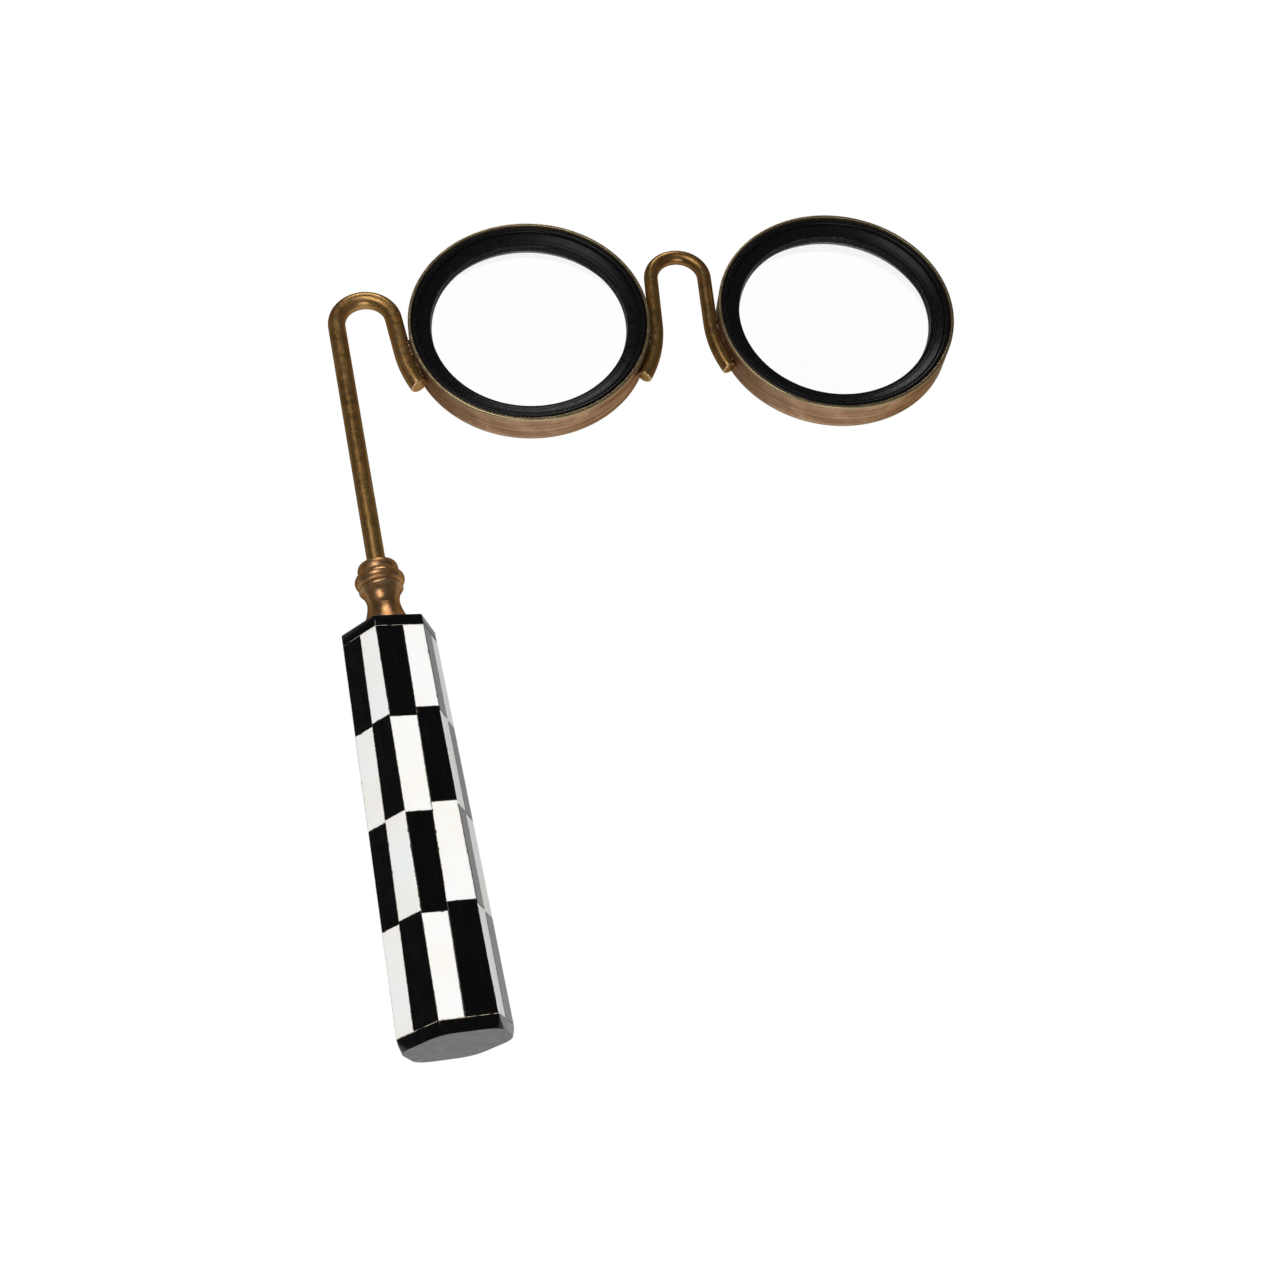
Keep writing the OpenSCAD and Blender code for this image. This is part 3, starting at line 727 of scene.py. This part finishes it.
def ferrule():
    """Turned from one bar: flared foot, waist, sharp shoulder, big bead, lip and the arm's socket."""
    foot = [(5.72, 0.65), (5.93, 0.7), (6.0, 0.8), (6.0, 1.0), (5.86, 1.2), (5.66, 1.35)]
    waist = smooth_line([(5.5, 1.62), (5.15, 2.5), (4.62, 3.7), (4.1, 5.1), (3.74, 6.5), (3.56, 7.8),
                         (3.66, 8.8), (3.98, 9.8), (4.42, 10.55)], 5)
    shoulder = [(4.66, 10.82), (4.82, 11.05), (4.87, 11.3), (4.82, 11.52), (4.66, 11.68), (4.55, 11.9)]
    bead = [(3.85 + 1.6 * math.cos(a), 13.5 + 1.6 * math.sin(a))
            for a in (math.radians(-66 + 132 * k / 24) for k in range(25))]
    lip = [(4.42, 15.12), (4.38, 15.25)] + smooth_line(
        [(4.44, 15.5), (4.47, 16.1), (4.4, 16.7), (4.2, 17.2), (3.9, 17.5), (3.55, 17.6)], 4)
    socket = [(2.25, 17.6), (2.15, 17.56), (2.07, 17.44), (2.07, 9.6), (0.0, 9.6)]
    stud_hole = [(0.0, 8.5), (2.02, 8.5), (2.02, 0.65)]
    rows = stud_hole + foot + waist + shoulder + bead + lip + socket
    drawn_from = 0.5                       # heights above start this far inside the cap's face
    worn_foot = {4: 0.5, 5: 0.9, 6: 0.7}
    crest = len(rows) - len(socket) - len(lip)
    outline = []
    for i, (r, h) in enumerate(rows):
        w = worn_foot.get(i, 0.0)
        if 10.8 < h < 11.6:
            w = 0.45
        if crest + 16 <= i < len(rows) - 4:
            w = 0.55
        outline.append((r, drawn_from - h, w))
    verts, faces, wear_and_solder_glint = lathe(outline, 160)
    patina_and_solder_shade = []
    for x, y, z in verts:
        h, r = drawn_from - z, math.hypot(x, y)
        g = sum(max(0.0, 1 - abs(h - crease) / width) * depth
                for crease, width, depth in ((11.85, 0.22, 0.8), (15.12, 0.2, 0.75), (1.42, 0.3, 0.35)))
        g += 0.9 if (r < 2.2 and h > 9) else 0.0
        patina_and_solder_shade.append(min(1.0, g))
    build("ferrule", "glasses", TURNED_BRASS, HANDLE, verts, faces,
          {"wear_and_solder_glint": wear_and_solder_glint, "patina_and_solder_shade": patina_and_solder_shade}, sharp=45)


ferrule()


# ---------------------------------------------------------------- handle

# A face has two strips of tiles that meet on a line. SHARE is where it is across the face, UNEVEN and SLANT
# how far it is off and how much it leans on each face. EARLY is how soon each strip's cuts come, in mm.
ROLL, TILE_T, ROWS, SHARE, JOINT = -15.8, 1.8, 4, 0.51, 0.12
TOP_D, END_D = 20.7, 23.8
UNEVEN = (-0.01, -0.01, 0.02, 0.0, -0.01, 0.01)
SLANT = (0.11, 0.15, 0.13, 0.09, 0.12, 0.05)
EARLY = (0.6, 0.9, 1.8, 0, 0.5, 0, 0.4, 1.1, 0.2, 0.8, 0.1, 0.5)
TILE_TOP, TILE_END = TOP_CAP + JOINT, LENGTH - END_CAP - JOINT
EDGE_R = 0.42
C30, T30 = math.cos(math.radians(30)), math.tan(math.radians(30))


def outer_d(z):
    """The handle's size over its corners."""
    return TOP_D + (END_D - TOP_D) * z / LENGTH


def line_at(k, z):
    """Where the line between the two strips of face k is, as a share of the face's width."""
    return SHARE + UNEVEN[k] + SLANT[k] * (z / LENGTH - 0.5)


def hex_ring(across, radius, z, steps=6):
    """A hexagon with rounded corners as 6 * (steps + 1) points; across is the corner-to-corner size."""
    out = []
    flat = across / 2 * C30
    for k in range(6):
        corner = ROLL + 60 * k
        reach = (flat - radius) / C30
        cx, cy = reach * math.cos(math.radians(corner)), reach * math.sin(math.radians(corner))
        for i in range(steps + 1):
            a = math.radians(corner - 30 + 60 * i / steps)
            out.append((cx + radius * math.cos(a), cy + radius * math.sin(a), z))
    return out


def stack(rings, closed):
    """Skins rings of equally many points, and joins the last to the first if closed."""
    verts = [p for ring in rings for p in ring]
    n = len(rings[0])
    faces = []
    for a in range(len(rings) if closed else len(rings) - 1):
        b = (a + 1) % len(rings)
        for k in range(n):
            m = (k + 1) % n
            faces.append((a * n + k, a * n + m, b * n + m, b * n + k))
    return verts, faces


def circle_like(ring, radius, z):
    """The same points pulled on to a circle."""
    return [(radius * x / math.hypot(x, y), radius * y / math.hypot(x, y), z) for x, y, _ in ring]


def top_cap():
    """A hexagonal plate with a softened top edge and a round hole for the bush."""
    profile = [(-0.30, 0.0), (-0.10, 0.06), (0.0, 0.22), (0.0, TOP_CAP - 0.08), (-0.05, TOP_CAP)]
    hole_r, corner_r = 3.56, EDGE_R + 0.25
    rings = [hex_ring(outer_d(TOP_CAP) + 2 * inset / C30, max(0.25, corner_r + inset), z, 8)
             for inset, z in profile]
    rings.append(circle_like(rings[0], hole_r, TOP_CAP))
    rings.append(circle_like(rings[0], hole_r, 0.0))
    verts, faces = stack(rings, True)
    n = len(verts)
    build("top_cap", "handle", CAP_HORN, HANDLE, verts, faces,
          {"face": [0.0] * n, "edge": [1.0] * n, "tile": [3.7] * n}, sharp=35)


def end_cap():
    """Its corners are filed rounder and rounder towards the butt, which is sanded flat."""
    start, end = LENGTH - END_CAP, LENGTH
    across = outer_d(start)
    filed, steps = 5.2, 9
    side = [(across + 2 * -0.06 / C30, EDGE_R - 0.06, start), (across, EDGE_R, start + 0.08)]
    side += [(across, EDGE_R + filed * t ** 1.6, start + 0.08 + (END_CAP - 0.24) * t)
             for t in (i / steps for i in range(1, steps + 1))]
    side += [(across - 0.06, EDGE_R + filed, end - 0.06)]
    butt = [(across - 0.22, EDGE_R + filed - 0.05, end), (across - 0.9, EDGE_R + filed - 0.4, end)]
    rings = [hex_ring(size, radius, z, 10) for size, radius, z in side + butt]
    face = [0.0] * len(side) + [1.0] * len(butt)
    verts, faces = stack(rings, False)
    n = len(rings[0])
    last = (len(rings) - 1) * n
    verts.append((0, 0, end))
    faces += [(last + k, last + (k + 1) % n, len(verts) - 1) for k in range(n)]
    faces.append(tuple(range(n)))
    marks = [f for f in face for _ in range(n)] + [1.0]
    total = len(verts)
    build("end_cap", "handle", CAP_HORN, HANDLE, verts, faces,
          {"face": marks, "edge": [1.0] * total, "tile": [5.1] * total}, sharp=35)


def resin_body():
    """The glue under the tiles and in the joints, a hair below their surface."""
    low = 0.07
    ends = (TOP_CAP + 0.005, LENGTH - END_CAP - 0.005)
    rings = [hex_ring(outer_d(z) - 2 * low / C30, EDGE_R - low, z, 6) for z in ends]
    rings += [hex_ring(outer_d(z) - 2 * (TILE_T + 0.2) / C30, 0.05, z, 6) for z in ends[::-1]]
    verts, faces = stack(rings, True)
    build("joint_resin", "handle", RESIN, HANDLE, verts, faces, sharp=25, node="resin_bed")


def corner_at(across, k):
    """A sharp corner of the hexagon, seen along the handle."""
    a = math.radians(ROLL + 60 * k)
    return Vector((across / 2 * math.cos(a), across / 2 * math.sin(a)))


def cut(row, column):
    """How far down the handle a strip is cut, above the given row."""
    height = (TILE_END - TILE_TOP) / ROWS
    return TILE_TOP + row * height - (0 if row in (0, ROWS) else EARLY[column - 1])


def wander(x, seed):
    """How far a cut strays from its line, in mm."""
    return (0.030 * noise.noise(Vector((x * 0.35, seed, 0.5)))
            + 0.022 * noise.noise(Vector((x * 1.5, seed, 9.5))))


def chips(rnd, length, many):
    """Places along an edge where it has chipped: (centre, half length, depth)."""
    return [(rnd.uniform(0.3, length - 0.3), rnd.uniform(0.12, 0.45),
             rnd.uniform(0.05, 0.24) * rnd.uniform(0.5, 1.0))
            for _ in range(rnd.randint(0, many))]


def chipped(x, found):
    """How deep the edge is chipped at x."""
    return max([0.0] + [depth * max(0.0, 1 - ((x - centre) / half) ** 2) ** 0.7
                        for centre, half, depth in found])


def arris(distance, turn):
    """How far the face sinks this close to a corner of the handle that is rounded from turn on."""
    x = max(0.0, turn - distance)
    return EDGE_R - math.sqrt(max(0.0, EDGE_R ** 2 - x * x)) if turn else 0.0


def spaced(length, near, count):
    """Places from 0 to length: close together near both ends and count even steps between."""
    first = near[-1]
    return ([0.0, *near] + [first + (length - 2 * first) * i / count for i in range(1, count)]
            + [length - x for x in near[::-1]] + [length])


def tile(column, row, seed):
    """One inlaid tile: a block with a rounded arris where it turns a corner of the handle."""
    k = (column - 1) // 2
    first = column % 2 == 1
    a, b = corner_at(TOP_D, k), corner_at(TOP_D, k + 1)
    along_face = (b - a).normalized()
    outward = Vector((along_face.y, -along_face.x))
    width = (b - a).length
    u0 = 0.0 if first else SHARE * width
    u1 = SHARE * width if first else width
    z0, z1 = cut(row, column), cut(row + 1, column) - (0 if row == ROWS - 1 else JOINT)
    rnd = random.Random(seed)
    length, wide = z1 - z0, u1 - u0
    cuts = {s: chips(rnd, length if s in "LR" else wide, 4 if s in "LR" else 2) for s in "LRTB"}
    skew_l, skew_r = (TILE_T * T30, 0.0) if first else (0.0, TILE_T * T30)
    turn_l, turn_r = (EDGE_R * T30, 0.0) if first else (0.0, EDGE_R * T30)
    rows_z = spaced(length, (0.05, 0.12, 0.28), 72)
    cols = spaced(wide, (0.04, 0.1, 0.2, 0.34, 0.55, 0.9), 4)
    verts, edge, index = [], [], {}
    half = JOINT / 2

    def put(key, u, depth, z, e):
        """A point of the tile: u across the face from corner a, stretched to the true line and taper."""
        if first:
            u *= line_at(k, z) / SHARE
        else:
            u = width - (width - u) * (1 - line_at(k, z)) / (1 - SHARE)
        p = (a + along_face * u) * (outer_d(z) / TOP_D) - outward * depth
        index[key] = len(verts)
        verts.append((p.x, p.y, z))
        edge.append(e)

    nr, nc = len(rows_z), len(cols)
    for i, v in enumerate(rows_z):
        left = half + wander(v + row * 30, column * 7.3) + chipped(v, cuts["L"])
        right = wide - half - wander(v + row * 30, column * 7.3 + 3.1) - chipped(v, cuts["R"])
        for j, c in enumerate(cols):
            q = c / wide
            u = left + (right - left) * q
            top = 0.4 * (wander(u, row * 5.7 + column) + chipped(c, cuts["T"]) * 2.5)
            bottom = 0.4 * (wander(u, row * 5.7 + column + 2.2) + chipped(c, cuts["B"]) * 2.5)
            z = z0 + top + (length - top - bottom) * (v / length)
            from_edge = min(c, wide - c, v, length - v)
            sink = arris(u, turn_l) + arris(wide - u, turn_r) + 0.035 * max(0.0, 1 - from_edge / 0.06) ** 2
            put((i, j), u0 + u, sink, z, from_edge)
    faces = [(index[i, j], index[i, j + 1], index[i + 1, j + 1], index[i + 1, j])
             for i in range(nr - 1) for j in range(nc - 1)]
    border = [(0, j) for j in range(nc)] + [(i, nc - 1) for i in range(1, nr)] \
        + [(nr - 1, j) for j in range(nc - 2, -1, -1)] + [(i, 0) for i in range(nr - 2, 0, -1)]
    layers = [border]
    for depth, name in ((0.5, "m"), (TILE_T, "b")):
        ring = []
        deep = depth / TILE_T
        left, right = half + skew_l * deep, wide - half - skew_r * deep
        for i, j in border:
            u = left + (right - left) * cols[j] / wide
            z = z0 + 0.002 + (length - 0.004) * rows_z[i] / length
            put((name, i, j), u0 + u, depth, z, 0.0)
            ring.append((name, i, j))
        layers.append(ring)
    for upper, lower in zip(layers, layers[1:]):
        for m in range(len(border)):
            n = (m + 1) % len(border)
            faces.append((index[upper[m]], index[lower[m]], index[lower[n]], index[upper[n]]))
    faces.append(tuple(index[key] for key in layers[-1]))
    return verts, faces, edge


def tile_column(kind, column):
    """Every tile of one kind in a strip; bone and horn take turns down it."""
    start = (column + 1) % 2 if kind == "bone" else column % 2
    verts, faces, edge, which = [], [], [], []
    for row in range(start, ROWS, 2):
        v, f, e = tile(column, row, 100 * column + row)
        base = len(verts)
        verts += v
        faces += [tuple(i + base for i in face) for face in f]
        edge += e
        which += [column * 1.37 + row * 0.61] * len(v)
    name = f"{kind}_tiles_{column}"
    build(name, "handle", BONE if kind == "bone" else HORN, HANDLE, verts, faces,
          {"edge": edge, "tile": which}, sharp=50)


top_cap()
end_cap()
resin_body()
for column in range(1, 13):
    tile_column("bone", column)
    tile_column("horn", column)


# ---------------------------------------------------------------- floor, light, camera

def floor():
    """White paper that lights nothing: only the camera sees it."""
    data = bpy.data.meshes.new("floor")
    data.from_pydata([(-6, -6, 0), (6, -6, 0), (6, 6, 0), (-6, 6, 0)], [], [(0, 1, 2, 3)])
    plane = bpy.data.objects.new("floor", data)
    bpy.context.scene.collection.objects.link(plane)
    m = bpy.data.materials.new("floor")
    m.use_nodes = True
    m.node_tree.nodes.clear()
    glow = add(m.node_tree, "ShaderNodeEmission", {0: (1.0, 1.0, 1.0, 1.0), 1: 1.0})
    out = add(m.node_tree, "ShaderNodeOutputMaterial")
    m.node_tree.links.new(glow.outputs[0], out.inputs[0])
    data.materials.append(m)
    plane.visible_glossy = plane.visible_diffuse = plane.visible_shadow = False


def world():
    """Dark above, lighter below, with soft patches for the metal to mirror; the camera sees white."""
    w = bpy.data.worlds.new("studio")
    w.use_nodes = True
    tree = w.node_tree
    tree.nodes.clear()
    way = add(tree, "ShaderNodeTexCoord").outputs["Generated"]

    def lobe(direction, outer, inner, strength):
        d = add(tree, "ShaderNodeVectorMath", {0: way, 1: Vector(direction).normalized()},
                operation="DOT_PRODUCT").outputs["Value"]
        return add(tree, "ShaderNodeMapRange", {
            0: d, 1: math.cos(math.radians(outer)), 2: math.cos(math.radians(inner)), 3: 0.0,
            4: strength}, interpolation_type="SMOOTHSTEP").outputs[0]

    height = add(tree, "ShaderNodeSeparateXYZ", {0: way}).outputs[2]
    total = add(tree, "ShaderNodeMapRange", {0: height, 1: 0.0, 2: -0.25, 3: 0.022, 4: 0.38},
                interpolation_type="SMOOTHSTEP").outputs[0]
    for part in (lobe((0.15, -0.50, -0.85), 60, 15, 0.5), lobe((0.40, 0.40, -0.83), 36, 16, 0.2),
                 lobe((0.0, -0.95, 0.28), 24, 12, 1.6)):
        total = add(tree, "ShaderNodeMath", {0: total, 1: part}, operation="ADD").outputs[0]
    to_camera = add(tree, "ShaderNodeLightPath").outputs["Is Camera Ray"]
    total = add(tree, "ShaderNodeMix", {0: to_camera, 2: total, 3: 1.0}).outputs[0]
    glow = add(tree, "ShaderNodeBackground", {0: (1.0, 1.0, 1.0, 1.0), 1: total})
    out = add(tree, "ShaderNodeOutputWorld")
    tree.links.new(glow.outputs[0], out.inputs[0])
    bpy.context.scene.world = w


def softbox(name, direction, distance, size, radiance, colour, glossy=True):
    """A rectangle of light aimed at the middle of the glasses; glossy=False keeps it out of reflections."""
    data = bpy.data.lights.new(name, "AREA")
    data.shape, data.size, data.size_y = "RECTANGLE", *size
    data.energy = radiance * math.pi * size[0] * size[1]
    data.color = colour
    lamp = bpy.data.objects.new(name, data)
    bpy.context.scene.collection.objects.link(lamp)
    aim = Vector((-0.02, 0.03, 0.01))
    way = Vector(direction).normalized()
    lamp.location = aim + way * distance
    lamp.rotation_mode = "QUATERNION"
    lamp.rotation_quaternion = way.to_track_quat("Z", "Y")
    lamp.visible_camera = False
    lamp.visible_glossy = glossy


floor()
world()
softbox("key", (-0.28, 0.10, 0.95), 1.0, (0.62, 0.42), 3.6, (1.0, 0.985, 0.96))
softbox("front", (-0.05, -0.93, 0.33), 1.2, (0.7, 0.25), 2.4, (1.0, 1.0, 1.0))
softbox("back", (-0.05, 0.93, 0.36), 1.1, (0.45, 0.28), 6.0, (1.0, 1.0, 1.0))
softbox("fill_above", (-0.15, -0.25, 0.95), 1.0, (0.9, 0.9), 2.75, (1.0, 1.0, 1.0), False)
softbox("fill_left", (-0.9, -0.1, 0.45), 1.0, (0.7, 0.5), 1.0, (1.0, 0.99, 0.96), False)
softbox("fill_right", (0.93, -0.2, 0.3), 1.0, (0.7, 0.5), 3.2, (1.0, 1.0, 1.0), False)

camera_data = bpy.data.cameras.new("camera")
camera = bpy.data.objects.new("camera", camera_data)
bpy.context.scene.collection.objects.link(camera)
bpy.context.scene.camera = camera
camera_data.sensor_width = 36.0
camera_data.lens = 47.81
camera_data.clip_start, camera_data.clip_end = 0.01, 50.0
stands = EYES[0] + Vector((-0.018085, -0.244289, 0.330163))
looks_at = EYES[0] + Vector((0.018815, -0.083649, 0.000003))
camera.location = stands
camera.rotation_mode = "QUATERNION"
camera.rotation_quaternion = (looks_at - stands).to_track_quat("-Z", "Y") @ Quaternion(
    (0, 0, 1), math.radians(8.63))
bpy.context.scene.view_settings.view_transform = "Standard"
